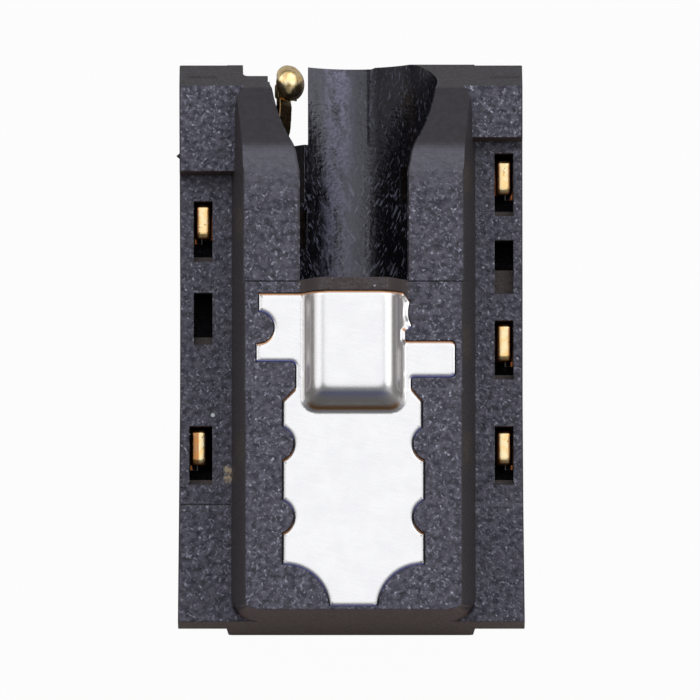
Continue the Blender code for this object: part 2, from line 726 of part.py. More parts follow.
def pocket_cutter(side, start, width, shift, bump_radius):
    """The room that a side contact needs, from the board's side through to the bore."""
    tail = bump_corner(bump_radius)[0] + BUMP_TAIL[0] - 2 * POCKET_SIDE_GAP
    foot_roof = FLANGE_UNDERSIDE + STRIP_THICKNESS + FOOT_ROOM
    below = FLANGE_UNDERSIDE - 2 * FOOT_ROOM
    top = FOLD_HEIGHT - POCKET_SIDE_GAP
    heel = POCKET_HEEL[0] + shift
    outline = [
        (WINDOW_INNER + POCKET_SIDE_GAP, top),
        (WINDOW_OUTER + shift - POCKET_SIDE_GAP, top),
        (WINDOW_OUTER + shift, INNER_LEG_END),
        (heel, POCKET_HEEL[1]),
        (heel, foot_roof),
        (LEFT_REACH + PAST, foot_roof),
        (LEFT_REACH + PAST, below),
        (POCKET_WEB_OUTER + shift, below),
        (POCKET_WEB_OUTER + shift, POCKET_WEB_TOP),
        (POCKET_WEB_INNER, POCKET_WEB_TOP),
        POCKET_HAUNCH,
        POCKET_KNEE,
        POCKET_TOE,
        (tail, POCKET_TOE[1]),
        (tail, POCKET_END_ROOF),
        POCKET_MOUTH,
        (BARREL_RIGHT, POCKET_ROOF),
    ]
    outline = [(side * x, z) for x, z in outline]
    gap = POCKET_END_GAP
    return prism("pocket", outline, "Y", start - gap, start + width + gap)


def tilt_to_sleeve(made):
    """Turn a solid drawn with radius along +X into the sleeve contact's slant."""
    made.data.transform(Matrix.Rotation(sleeve_angle(), 4, "Y"))
    return made


def sleeve_hinge():
    """The root of the sleeve contact's arm."""
    return Vector((SLEEVE_ARM_RADIUS * math.cos(sleeve_angle()), SLEEVE_ROOT, -SLEEVE_ROOT_DROP))


def sleeve_foot_box(gap_y, low, high, inner, outer):
    """A box along the sleeve contact's solder foot."""
    start = SLEEVE_ROOT + SLEEVE_THICKNESS / 4 - gap_y
    end = SLEEVE_ROOT + SLEEVE_ROOT_LENGTH + gap_y
    outline = [(inner, start), (outer, start), (outer, end), (inner, end)]
    return prism("foot", outline, "Z", low, high)


def make_sleeve_contact():
    """A strip along the bore: an end rolled back over itself, a tapered arm, root and foot."""
    root_end = SLEEVE_ROOT + SLEEVE_ROOT_LENGTH
    hook = SLEEVE_ARM_RADIUS - SLEEVE_HOOK_LIFT
    crest = SLEEVE_ARM_RADIUS - SLEEVE_CREST_LIFT
    path = rounded([
        (SLEEVE_ARM_RADIUS, root_end, 0),
        (SLEEVE_ARM_RADIUS, SLEEVE_TAPER[-1][0], SLEEVE_CREST_BEND),
        (hook, SLEEVE_TAPER[0][0], SLEEVE_CREST_BEND),
        (hook, SLEEVE_FRONT, SLEEVE_HOOK_BEND),
        (crest, SLEEVE_FRONT, SLEEVE_HOOK_BEND),
        (crest, SLEEVE_CREST_AT, SLEEVE_CREST_BEND),
        (SLEEVE_ARM_RADIUS - SLEEVE_TAIL_LIFT, SLEEVE_HEAD_END, 0),
    ])
    side_view = strip_outline(path, SLEEVE_THICKNESS)
    half = SLEEVE_HALF_WIDTH
    margin = SLEEVE_THICKNESS
    contact = prism("contact_sleeve", side_view, "Z", -half - margin, SLEEVE_LUG_WIDTH + margin)
    front = SLEEVE_FRONT - SLEEVE_THICKNESS / 2 - SEAT_CLEARANCE
    plan = rounded([
        (front, -half, SLEEVE_HEAD_ROUND),
        *((y, edge, 0) for y, edge in SLEEVE_TAPER),
        (SLEEVE_ROOT - SLEEVE_NECK_LENGTH, SLEEVE_TAPER[-1][1], 0),
        (SLEEVE_ROOT, -half, 0),
        (root_end + margin, -half, 0),
        (root_end + margin, half, 0),
        (SLEEVE_LUG[1], half, 0),
        (SLEEVE_LUG[1], SLEEVE_LUG_WIDTH, SLEEVE_LUG_ROUND),
        (SLEEVE_LUG[0], SLEEVE_LUG_WIDTH, SLEEVE_LUG_ROUND),
        (SLEEVE_LUG[0], half, 0),
        (front, half, SLEEVE_HEAD_ROUND),
    ])
    keep_common(contact, prism("plan", plan, "X", 0, SLEEVE_ARM_RADIUS + PAST))
    tilt_to_sleeve(contact)
    angle = sleeve_angle()
    inner = SLEEVE_ARM_RADIUS * math.cos(angle) + half * math.sin(angle) - SLEEVE_THICKNESS
    outer = flange_reach(LEFT, root_end) - FOOT_SETBACK
    low = FLANGE_UNDERSIDE
    return add(contact, sleeve_foot_box(0, low, low + SLEEVE_THICKNESS, inner, outer))


def cut_sleeve_room(housing):
    """The channel that the sleeve contact lies in, and the slot for its foot."""
    half = SLEEVE_CHANNEL_HALF_WIDTH
    end = SLEEVE_ROOT + SLEEVE_ROOT_LENGTH + SLEEVE_FOOT_GAP
    front = NOTCH_LENGTH - NOTCH_ROUND * 2
    outline = [
        (SLEEVE_CHANNEL_INNER, front),
        (SLEEVE_ARM_RADIUS + SLEEVE_SWING_ROOM, front),
        (SLEEVE_ARM_RADIUS + SLEEVE_THICKNESS, end),
        (SLEEVE_CHANNEL_INNER, end),
    ]
    cut(housing, tilt_to_sleeve(prism("channel", outline, "Z", -half, half)))
    roof = FLANGE_UNDERSIDE + SLEEVE_THICKNESS + POCKET_SIDE_GAP
    below = FLANGE_UNDERSIDE - POCKET_SIDE_GAP
    inner = BORE_RADIUS * math.cos(sleeve_angle())
    cut(housing, sleeve_foot_box(SLEEVE_FOOT_GAP, below, roof, inner, LEFT_REACH + PAST))
    edge = notch_sides()[1]
    inner, outer = edge - SLEEVE_RELIEF_REACH, edge + SLEEVE_RELIEF_REACH
    start, stop = SLEEVE_RELIEF_ENDS
    outline = [(inner, start), (outer, start), (outer, stop), (inner, stop)]
    cut(housing, prism("relief", outline, "Z", BARREL_FLOOR - PAST, SLEEVE_RELIEF_TOP))


def make_housing():
    """The moulded housing."""
    housing = housing_blank()
    add(housing, lip())
    cut(housing, nose_cutter())
    cut(housing, floor_step_cutter())
    for side in (LEFT, RIGHT):
        cut(housing, arm_corner_cutter(side))
        cut(housing, end_corner_cutter(side))
        cut(housing, step_groove_cutter(side))
    cut(housing, bore_cutter())
    cut(housing, left_end_cutter())
    cut(housing, notch_cutter())
    recess_floor = PLATE_TOP - PLATE_THICKNESS - SEAT_CLEARANCE
    cut(housing, plate_column("recess", SEAT_CLEARANCE, recess_floor, REAR_TOP + PAST))
    for _, side, window, strip, shift, bump_radius in SIDE_CONTACTS:
        cut(housing, window_cutter(side, *window, shift, WINDOW_FLOOR, LEDGE_LENGTH))
        cut(housing, pocket_cutter(side, *strip, shift, bump_radius))
    for side, (start, end, ledge) in ((LEFT, LEFT_EMPTY), (RIGHT, RIGHT_EMPTY)):
        cut(housing, window_cutter(side, start, end, 0, EMPTY_WINDOW_FLOOR, ledge))
    cut_sleeve_room(housing)
    return housing


def material(name, colour, roughness, metallic):
    """A plain Principled surface."""
    made = bpy.data.materials.new(name)
    made.use_nodes = True
    shader = made.node_tree.nodes["Principled BSDF"]
    shader.inputs["Base Color"].default_value = (*colour, 1)
    shader.inputs["Roughness"].default_value = roughness
    shader.inputs["Metallic"].default_value = metallic
    return made


def settle(made, parent, origin, finish):
    """Move a piece's origin to a point, hang it on its parent and shade it."""
    made.data.transform(Matrix.Translation(-origin))
    made.location = origin
    made.parent = parent
    made.data.materials.clear()
    made.data.materials.append(finish)
    made.data.shade_smooth()
    made.data.set_sharp_from_angle(angle=math.radians(25))
    return made


def main():
    clear_scene()
    plastic = material("black_plastic", (0.055, 0.055, 0.06), 0.55, 0.0)
    steel = material("brushed_stainless", (0.78, 0.77, 0.75), 0.32, 1.0)
    gold = material("gold_plate", (0.83, 0.58, 0.24), 0.25, 1.0)

    socket = bpy.data.objects.new("socket", None)
    socket.location = (0, -LENGTH / 2, -BARREL_FLOOR)
    bpy.context.collection.objects.link(socket)

    settle(make_housing(), socket, Vector((0, 0, 0)), plastic)
    settle(make_cover_plate(), socket, Vector((0, 0, 0)), steel)
    settle(make_sleeve_contact(), socket, sleeve_hinge(), gold)
    for name, side, _, strip, shift, bump_radius in SIDE_CONTACTS:
        contact = make_side_contact(name, side, *strip, shift, bump_radius)
        settle(contact, socket, side_hinge(side, *strip, shift), gold)
    bpy.context.view_layer.update()


main()
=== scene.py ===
"""Looks of the low-profile audio jack socket: moulded housing, stamped plate, gold springs."""

import math
from types import SimpleNamespace

import bmesh
import bpy
from mathutils import Matrix, Vector
from mathutils.bvhtree import BVHTree
from mathutils.geometry import delaunay_2d_cdt


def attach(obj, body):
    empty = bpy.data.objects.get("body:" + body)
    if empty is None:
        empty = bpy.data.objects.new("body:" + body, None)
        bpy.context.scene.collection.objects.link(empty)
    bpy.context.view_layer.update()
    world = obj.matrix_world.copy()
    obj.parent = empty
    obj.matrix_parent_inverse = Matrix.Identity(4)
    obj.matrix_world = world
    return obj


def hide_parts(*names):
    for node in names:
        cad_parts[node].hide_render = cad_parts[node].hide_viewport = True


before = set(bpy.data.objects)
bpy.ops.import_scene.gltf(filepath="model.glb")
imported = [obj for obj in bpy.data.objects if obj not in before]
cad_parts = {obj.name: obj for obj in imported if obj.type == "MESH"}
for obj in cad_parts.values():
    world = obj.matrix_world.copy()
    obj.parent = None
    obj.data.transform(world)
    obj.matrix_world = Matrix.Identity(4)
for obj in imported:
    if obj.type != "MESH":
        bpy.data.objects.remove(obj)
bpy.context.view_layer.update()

MM = 0.001

# The jack's own frame: its origin is on the bore's axis in the plane of the mouth
ORIGIN = Vector((0, -6.055, 2.08)) * MM
BORE_RADIUS = 1.78
LIP_FRONT = 5.06

# The photograph: pixels for a millimetre, tilt towards the closed end, and its centre
PIXELS = 700
PIXELS_PER_MM = 47.21
TILT_DEG = 9.15
CAMERA_DISTANCE = 0.6
VIEW_CENTRE = Vector((0.075, 6.315, 0)) * MM
SENSOR = 36.0
CLIP_START = 0.001
CLIP_END = 20.0

# Corners that the CAD mesh's shading split are joined within this distance
WELD = 0.0006 * MM

# Stamped plate
PLATE_THICKNESS = 0.12 * MM
PLATE_EDGE_ROUND = 0.10 * MM
PLATE_EDGE_DROP = 0.045 * MM
PLATE_GROWTH = 0.015 * MM
PLATE_GRID = 0.032 * MM
PLATE_SHORTEST_EDGE = 0.006 * MM
PLATE_LEVEL = 3.62 * MM
PLATE_UPWARD = 0.3
PLATE_SHARP_DEG = 50
PROBE_HEIGHT = 0.01
CROWN_EASE = 0.17 * MM
CROWN_PROBES = 12
EDGE_STEPS = 4
GRID_STARTS = (0.9, 0.6)
GRID_CLEARANCE = 0.5
INSET_LEAST = 0.5
TRIANGULATION_MERGE = 1e-9

# Plated springs: the remesh voxel is in millimetres, the rest in metres
SPRING_VOXEL = 0.011
SPRING_GRID = 0.05 * MM
SPRING_SMOOTHING = 5
SLEEVE_SMOOTHING = 28
DIVIDE_ROUNDS = 5
FOLD_WEAR = 0.045 * MM
FOLD_FLATTEN = 0.45
FOLD_SPREAD = 0.30
FOLD_SPREAD_DEPTH = 0.16 * MM
FOLD_SPREAD_FULL = 0.6
FOLD_DIP = 0.07 * MM
FOLD_DIP_LENGTH = 0.13 * MM
FOLD_DIP_REACH = 0.10 * MM
LUG_START = 0.70 * MM
LUG_END = 1.45 * MM
LUG_DRAW_IN = 0.42
HEAD_CENTRE = Vector((1.345, 0.44, -0.92)) * MM
HEAD_SIZE = Vector((0.36, 0.37, 0.25)) * MM
HEAD_TURN_DEG = -48.0
HEAD_SUBDIVISIONS = 4

# A sliver of moulding flash: its corners in the jack's frame, and its size
FLASH = ((3.68, 2.06, -0.18), (3.760, 2.12, -0.20), (3.69, 2.19, -0.16))
FLASH_THICKNESS = 0.035 * MM
FLASH_ROUND = 0.006 * MM

# Where a spring's gold changes, in millimetres of the jack's frame
WINDOW_WALL = (2.7, 2.8)
WINDOW_SHADE = (-0.56, -0.43)
BORE_WALL = (2.6, 2.7)
ARM_START = (0.74, 0.89)
ARM_ACROSS = (1.95, 2.05)
ARM_SHADE_LEVELS = (0.85, 0.97)
FOLD_X = 3.19
FOLD_HALF = (0.075, 0.10)
FOLD_FACING = (0.75, 0.96)

# Where the moulding's surface changes, in millimetres of the jack's frame
RIDGE_EDGE = (2.62, 2.66)
RIDGE_FOOT = (0.30, 0.36)
RIDGE_STEP = 7.40
RIDGE_STEP_HEIGHT = (1.45, 1.50)
STEP_HALF = (0.01, 0.05)
FLANGE_STEP = 9.61
FLANGE_STEP_HEIGHT = (-0.05, 0.0)
LEDGE_HALF = (0.01, 0.06)
NOSE_START = 1.75
NOSE_TOP = 2.35
NOSE_SHEEN_END = 3.30
BORE_SKIN = (BORE_RADIUS + 0.01, BORE_RADIUS + 0.03)
TROUGH_END = (LIP_FRONT, LIP_FRONT + 0.1)
LIP_HALF = (1.10, 1.25)
LIP_HEIGHT = (1.0, 1.2)
LIP_END = (LIP_FRONT + 0.30, LIP_FRONT + 0.36)
WINDOW_INNER = (2.86, 2.92)
WINDOW_OUTER = (3.50, 3.56)
WINDOW_FRONT = (0.3, 0.5)
WINDOW_BACK = (11.8, 12.0)
WINDOW_DEEP = (-0.34, -0.19)
SHELF_BOTTOM = (-0.46, -0.44)
SHELF_TOP = (-0.40, -0.38)
# Where the trough's painted sheen runs
TROUGH_SHEEN_X = 0.34
TROUGH_SHEEN_HALF = (0.12, 0.44)
SEAM_X = 0.319
SEAM_HALF = (0.015, 0.05)
SEAM_END = (1.5, 1.8)
GLOSS_EDGE = (-0.55, -0.25)
FIBRE_MIDDLE = (-0.3, 0.3)
FIBRE_FRONT = (1.6, 3.0)
END_CORNER = (2.46, 11.84)
END_CORNER_SIZE = (0.13, 0.24, 0.30)
SPECK = (2.98, 7.69, -0.13)
SPECK_SIZE = (0.055, 0.055, 0.055)
SCUFF = (2.66, 8.93, -0.10)
SCUFF_SIZE = (0.13, 0.30, 0.2)
MOULD_BEVEL = 0.03 * MM

# Parts of a face's normal: upwards, and for the last towards the closed end
LEVEL_FACING = (0.86, 0.99)
UPRIGHT_FACING = (0.25, 0.55)
SHELF_FACING = (0.8, 0.95)
CLOSED_END_FACING = (0.5, 0.8)

# The moulding's grain: spans of a noise's value over which each texture sets in, and sizes
GRAIN_SPAN = (0.32, 0.68)
CLOUD_SPAN = (0.35, 0.7)
PIT_SPAN = (0.26, 0.38)
FLECK_SPAN = (0.61, 0.69)
GLINT_SPAN = (0.725, 0.78)
FIBRE_SPAN = (0.59, 0.68)
UPRIGHT_FIBRE_SPAN = (0.62, 0.72)
MOTTLE_SPAN = (0.40, 0.57)
TROUGH_SHEEN_SPAN = (0.36, 0.60)
SCUFF_SPAN = (0.4, 0.6)
FINE_GRAIN_SHARE = 0.45
NOSE_FLECK_LOSS = 0.12
FIBRE_FEWER = 0.86
FIBRE_FAINT = 0.12
GRAIN_DEPTH = 0.04 * MM
TROUGH_RELIEF = 0.09
MATT_ROUGHNESS = (0.42, 0.58)
POLISHED_ROUGHNESS = (0.15, 0.30)
SPECULAR = 0.30
TROUGH_SPECULAR = 1.0

# The moulding's colours, linear
GRAIN_HOLLOW = (0.046, 0.045, 0.060, 1)
GRAIN_CREST = (0.142, 0.139, 0.182, 1)
CLOUD_GREY = (0.125, 0.120, 0.142, 1)
PIT_DARK = (0.030, 0.029, 0.038, 1)
# Painted glints: faint pale specks where the grain catches the light
FLECK_GLINT_PALE = (0.32, 0.32, 0.41, 1)
# Painted highlight: a soft sheen on the nose's rounded crown
NOSE_SHEEN = (0.150, 0.148, 0.178, 1)
# Painted shade on slopes, which catch less of the light
SLOPE_SHADE = (0.040, 0.036, 0.038, 1)
# Painted shade on upright sides
UPRIGHT_SHADE = (0.056, 0.050, 0.052, 1)
# Painted highlight along the edges of the ridge's step and the flange's ledge
STEP_HIGHLIGHT = (0.20, 0.20, 0.24, 1)
# Painted light: the closed end's walls, brownish and lighter than other upright sides
CLOSED_END_LIT_BROWN = (0.185, 0.120, 0.104, 1)
LIP_BROWN = (0.085, 0.066, 0.060, 1)
# Painted glints: sparse bright sparkles where the flats catch the light
GLINT_WHITE = (0.60, 0.62, 0.74, 1)
# The polished trough's own black, darkened further as painted shade in the bore
TROUGH_BLACK_AND_SHADE = (0.004, 0.004, 0.006, 1)
# Painted highlight: a bluish sheen along the polished trough
TROUGH_SHEEN_BLUE = (0.195, 0.190, 0.295, 1)
# Real scratches, painted with the glints they catch
SCRATCH_GLINT_BLUE = (0.24, 0.24, 0.34, 1)
# Painted shade deep in the windows
WINDOW_DEPTH_SHADE = (0.006, 0.005, 0.006, 1)
# Painted light on the windows' shelves, which lie in shade
SHELF_PAINTED_LIGHT = (0.16, 0.135, 0.13, 1)
# Painted shadow at the foot of the closed end's rounded corners
CORNER_SHADOW = (0.010, 0.009, 0.013, 1)
SPECK_WHITE = (0.85, 0.92, 0.95, 1)
SCUFF_TAN = (0.55, 0.44, 0.30, 1)
PLASTIC_SPECULAR = (0.85, 0.85, 1.0, 1)

# The steel's colours, the places of its tints, and its finish
STEEL_DULL = (0.885, 0.885, 0.91, 1)
STEEL_BRIGHT = (0.93, 0.93, 0.945, 1)
# Painted shade on the channel's flanks
FLANK_SHADE_GREY = (0.72, 0.66, 0.64, 1)
FOOT_BROWN = (0.50, 0.26, 0.12, 1)
BROW_BLUE = (0.52, 0.55, 0.85, 1)
EDGE_ORANGE = (0.75, 0.36, 0.16, 1)
EDGE_BLUE = (0.12, 0.16, 0.95, 1)
FLANK_FACING = (0.72, 0.97)
EDGE_FACING = (0.93, 0.994)
CHANNEL_START = (1.50, 1.56)
CHANNEL_FOOT = (1.56, 1.60)
CHANNEL_BROWN = (1.60, 1.70)
CHANNEL_BLUE = (1.76, 1.88)
CLOSED_FACING = (0.25, 0.5)
MOUTH_EDGE_FACING = (-0.30, -0.12)
CLOSED_EDGE_FACING = (0.12, 0.30)
BRUSHING_DEPTH = 0.02 * MM
STEEL_ROUGHNESS = (0.265, 0.295)

# The gold's colours and finish
GOLD_DEEP = (0.95, 0.66, 0.30, 1)
GOLD_PALE = (1.0, 0.84, 0.52, 1)
GOLD_PIT = (0.30, 0.13, 0.03, 1)
GOLD_SHADE = (0.13, 0.06, 0.025, 1)
# Painted shade on the sides of the folds, which turn from the light
GOLD_SIDE_SHADE = (0.42, 0.15, 0.04, 1)
# Painted shade on the springs' arms inside the bore
GOLD_ARM_SHADE = (0.10, 0.045, 0.02, 1)
ROLLING_DEPTH = 0.01 * MM
GOLD_ROUGHNESS = (0.18, 0.27)

# The studio: a bright patch overhead, whose centre and reach are slopes from the vertical, a
# band of light at the front and sides, and a dim room. Spreads are parts of a direction.
HORIZON = 0.05
PATCH_CENTRE = (0.0, -0.38)
PATCH_REACH = (0.62, 0.66)
PATCH_CORE = 0.5
PATCH_LEVEL = 1.14
BAND_BOTTOM = (0.20, 0.40)
BAND_TOP = (0.66, 0.82)
FRONT_SPREAD = (-0.55, -0.22)
FRONT_LEVEL = 0.75
SIDE_SPREAD = (-0.5, 0.5)
SIDE_LEVELS = (0.30, 0.14)
SIDE_FADE = (0.20, 0.6)
SIDE_LEVEL_BEHIND = 0.1
ROOM_SPREAD = (-0.8, 0.4)
ROOM_LEVELS = (0.18, 0.07)
ROOM_RISE = (-0.1, 0.5)
ROOM_LEVEL_LOW = 0.6
ROOM_FADE = (0.4, 0.9)
ROOM_LEVEL_BEHIND = 0.5
WORLD_IN_GLOSS = 0.10

# The floor, and the strip under the flanges where it doesn't glow and is painted grey as their shadow
FLOOR_HALF = 0.5
FLOOR_DROP = 0.02 * MM
FLOOR_GREY = (0.5, 0.5, 0.5, 1)
FLOOR_GLOW = 0.965
FLOOR_IN_GLOSS = 0.12
# Painted shadow beneath the flanges
UNDER_SHADOW_GREY = (0.12, 0.12, 0.12, 1)
UNDER_INNER = (2.55 * MM, 2.70 * MM)
UNDER_OUTER = (3.40 * MM, 3.62 * MM)
UNDER_ENDS = (4.60 * MM, 5.60 * MM)

# Two round softboxes
LAMP_DISTANCE = 0.9
LAMP_SIZE = 1.0
KEY_DIRECTION = (-0.80, -0.50, 0.65)
KEY_POWER = 2.3
FILL_DIRECTION = (0.90, -0.45, 0.65)
FILL_POWER = 2.1


def to_world(x, y, z):
    """A point of the jack's frame, in millimetres, as world metres."""
    return ORIGIN + Vector((x, y, z)) * MM


class Nodes:
    """A short way to write a node tree."""

    def __init__(self, tree):
        self.tree = tree

    def add(self, kind, **values):
        node = self.tree.nodes.new(kind)
        for key, value in values.items():
            setattr(node, key, value)
        return node

    def feed(self, socket, value):
        """Link another node's output into a socket, or set a plain value there."""
        if isinstance(value, bpy.types.NodeSocket):
            self.tree.links.new(value, socket)
        else:
            socket.default_value = value

    def set(self, node, **sockets):
        for key, value in sockets.items():
            self.feed(node.inputs[key.replace("_", " ")], value)

    def math(self, operation, *values):
        node = self.add("ShaderNodeMath", operation=operation)
        for socket, value in zip(node.inputs, values):
            self.feed(socket, value)
        return node.outputs[0]

    def distance(self, value, centre):
        """How far a value is from a centre."""
        return self.math("ABSOLUTE", self.math("SUBTRACT", value, centre))

    def product(self, first, *others):
        for other in others:
            first = self.math("MULTIPLY", first, other)
        return first

    def invert(self, value):
        return self.math("SUBTRACT", 1.0, value)

    def noise(self, vector, scale, detail, roughness):
        node = self.add("ShaderNodeTexNoise")
        self.set(node, Vector=vector, Scale=scale, Detail=detail, Roughness=roughness)
        return node.outputs["Fac"]

    def stretched(self, vector, scale, turn_deg=0.0):
        """Coordinates turned about Z, then scaled on each axis."""
        turned = self.add("ShaderNodeVectorRotate", rotation_type="Z_AXIS")
        self.set(turned, Vector=vector, Angle=math.radians(turn_deg))
        node = self.add("ShaderNodeMapping", vector_type="POINT")
        self.set(node, Vector=turned.outputs["Vector"], Scale=scale)
        return node.outputs["Vector"]

    def streaks(self, vector, scale, turn_deg=0.0, detail=1.0, roughness=0.5):
        """Noise that is longer one way than the other, turned about Z."""
        return self.noise(self.stretched(vector, scale, turn_deg), 1.0, detail, roughness)

    def ramp(self, value, span, levels):
        """A smooth step between two levels, while a value goes through a span."""
        node = self.add("ShaderNodeMapRange", clamp=True, interpolation_type="SMOOTHSTEP")
        self.set(node, Value=value, From_Min=span[0], From_Max=span[1])
        self.set(node, To_Min=levels[0], To_Max=levels[1])
        return node.outputs["Result"]

    def rise(self, value, span):
        return self.ramp(value, span, (0.0, 1.0))

    def fall(self, value, span):
        return self.ramp(value, span, (1.0, 0.0))

    def mix(self, factor, a, b):
        node = self.add("ShaderNodeMix", data_type="RGBA")
        for name, value in (("Factor", factor), ("A", a), ("B", b)):
            self.feed([s for s in node.inputs if s.name == name and s.enabled][0], value)
        return [s for s in node.outputs if s.enabled][0]

    def layers(self, tone, layers):
        """Colours laid over a tone, each one through its mask and at its strength."""
        for mask, strength, colour in layers:
            tone = self.mix(self.product(mask, strength), tone, colour)
        return tone

    def point(self):
        """Position in the jack's frame, in millimetres."""
        coordinates = self.add("ShaderNodeTexCoord")
        shift = self.add("ShaderNodeMapping", vector_type="POINT")
        self.set(shift, Vector=coordinates.outputs["Object"], Scale=(1 / MM, 1 / MM, 1 / MM),
                 Location=tuple(-c / MM for c in ORIGIN))
        return shift.outputs["Vector"]

    def normal(self):
        """The x, y and z parts of the surface's normal."""
        return self.split(self.add("ShaderNodeNewGeometry").outputs["Normal"])

    def split(self, vector):
        node = self.add("ShaderNodeSeparateXYZ")
        self.feed(node.inputs[0], vector)
        return node.outputs

    def spot(self, vector, centre, size):
        """One inside a soft ellipsoid, zero outside it."""
        node = self.add("ShaderNodeMapping", vector_type="TEXTURE")
        self.set(node, Vector=vector, Location=centre, Scale=size)
        length = self.add("ShaderNodeVectorMath", operation="LENGTH")
        self.feed(length.inputs[0], node.outputs["Vector"])
        return self.fall(length.outputs["Value"], (0.5, 1.0))

    def seen(self, in_gloss):
        """One where the camera or glass looks straight at this, and a share in reflections."""
        path = self.add("ShaderNodeLightPath")
        direct = self.math("MAXIMUM", path.outputs["Is Camera Ray"],
                           path.outputs["Is Transmission Ray"])
        mirrored = self.math("MULTIPLY", path.outputs["Is Glossy Ray"], in_gloss)
        return self.math("MAXIMUM", direct, mirrored)


def principled(name):
    material = bpy.data.materials.new(name)
    material.use_nodes = True
    nodes = Nodes(material.node_tree)
    return material, nodes, material.node_tree.nodes["Principled BSDF"]


def moulding_regions(n, point):
    """Masks of the moulding's regions, from their places and from how their faces point."""
    x, y, z = n.split(point)
    _, along, up = n.normal()
    across = n.math("ABSOLUTE", x)
    on = SimpleNamespace()

    ridge = n.product(n.fall(across, RIDGE_EDGE), n.rise(z, RIDGE_FOOT))
    nose = n.product(ridge, n.fall(y, (NOSE_START, NOSE_TOP)))
    # The nose up to the end of its painted sheen, where fewer glints are painted
    on.worn_nose = n.product(ridge, n.fall(y, (NOSE_START, NOSE_SHEEN_END)))
    # A painted sheen on the nose's crown
    on.sheen = n.product(ridge, n.rise(y, (NOSE_START, NOSE_TOP)),
                         n.fall(y, (NOSE_TOP, NOSE_SHEEN_END)))
    on.level = n.product(n.rise(up, LEVEL_FACING), n.invert(nose))
    on.upright = n.fall(up, UPRIGHT_FACING)
    # The closed end's upright walls, where light is painted
    on.closed_end = n.product(on.upright, n.rise(along, CLOSED_END_FACING))

    radius = n.math("SQRT", n.math("ADD", n.math("MULTIPLY", x, x), n.math("MULTIPLY", z, z)))
    on.trough = n.product(n.fall(radius, BORE_SKIN), n.fall(y, TROUGH_END))
    on.flats = n.product(on.level, n.invert(on.trough))
    # The trough's band, where a sheen is painted
    on.band = n.product(n.fall(n.distance(x, TROUGH_SHEEN_X), TROUGH_SHEEN_HALF), on.trough)
    on.seam = n.product(n.fall(n.distance(x, -SEAM_X), SEAM_HALF), n.fall(y, SEAM_END), on.trough)
    on.glossy = n.product(on.trough, n.invert(on.seam), n.rise(x, GLOSS_EDGE))
    on.lip = n.product(n.fall(across, LIP_HALF), n.rise(z, LIP_HEIGHT), n.fall(y, LIP_END))

    window = n.product(n.rise(across, WINDOW_INNER), n.fall(across, WINDOW_OUTER),
                       n.rise(y, WINDOW_FRONT), n.fall(y, WINDOW_BACK))
    # Deep in the windows, where shade is painted and the gloss is cut
    on.deep = n.product(window, n.fall(z, WINDOW_DEEP))
    # The windows' upward shelves, where light is painted
    on.shelf = n.product(window, n.rise(z, SHELF_BOTTOM), n.fall(z, SHELF_TOP),
                         n.rise(up, SHELF_FACING))

    # Lines along the ridge's step and the flange's ledge, where a highlight is painted
    step = n.product(n.fall(n.distance(y, RIDGE_STEP), STEP_HALF), n.rise(z, RIDGE_STEP_HEIGHT))
    ledge = n.product(n.fall(n.distance(y, FLANGE_STEP), LEDGE_HALF),
                      n.fall(z, FLANGE_STEP_HEIGHT))
    on.lines = n.math("MAXIMUM", step, ledge)
    # Painted shadow at the foot of the closed end's corners
    corners = [n.spot(point, (side * END_CORNER[0], END_CORNER[1], 0.0), END_CORNER_SIZE)
               for side in (1, -1)]
    on.corner = n.math("MAXIMUM", *corners)
    return on


def moulding_grain(n, point, worn_nose):
    """The spark-eroded grain of the flats: coarse and fine waves and pits, with painted glints, faint
    dense ones and sparse bright ones.
    """
    grain = SimpleNamespace()
    grain.coarse = n.noise(point, scale=7.5, detail=2.0, roughness=0.5)
    grain.fine = n.noise(point, scale=16.0, detail=1.0, roughness=0.5)
    leaning = n.streaks(point, scale=(16.0, 10.5, 16.0), turn_deg=35.0)
    crossing = n.streaks(point, scale=(17.0, 10.0, 17.0), turn_deg=-40.0)
    # Fewer painted glints over the nose and its sheen
    fleck = n.math("SUBTRACT", n.math("MAXIMUM", leaning, crossing), n.product(worn_nose, NOSE_FLECK_LOSS))
    grain.flecks = n.rise(fleck, FLECK_SPAN)
    grain.glints = n.rise(fleck, GLINT_SPAN)
    grain.pits = n.fall(n.noise(point, scale=11.0, detail=1.0, roughness=0.5), PIT_SPAN)
    grain.cloud = n.rise(n.noise(point, scale=1.6, detail=3.0, roughness=0.6), CLOUD_SPAN)
    grain.waves = n.math("ADD", grain.coarse, n.math("MULTIPLY", grain.fine, FINE_GRAIN_SHARE))
    return grain


def trough_scratches(n, point):
    """Short fibres that lean to both sides of the polished trough, and a few upright ones: real scratches,
    whose glints are painted.
    """
    x, y, _ = n.split(point)
    leaning = n.streaks(point, scale=(20.0, 3.4, 20.0), turn_deg=-30.0)
    crossing = n.streaks(point, scale=(20.0, 3.4, 20.0), turn_deg=30.0)
    upright = n.streaks(point, scale=(22.0, 5.0, 22.0), turn_deg=4.0)
    fibres = n.math("MAXIMUM", n.product(leaning, n.ramp(x, FIBRE_MIDDLE, (FIBRE_FEWER, 1.0))),
                    n.product(crossing, n.ramp(x, FIBRE_MIDDLE, (1.0, FIBRE_FEWER))))
    fibres = n.product(n.rise(fibres, FIBRE_SPAN), n.ramp(y, FIBRE_FRONT, (FIBRE_FAINT, 1.0)))
    return n.math("MAXIMUM", fibres, n.product(n.rise(upright, UPRIGHT_FIBRE_SPAN), 0.5))


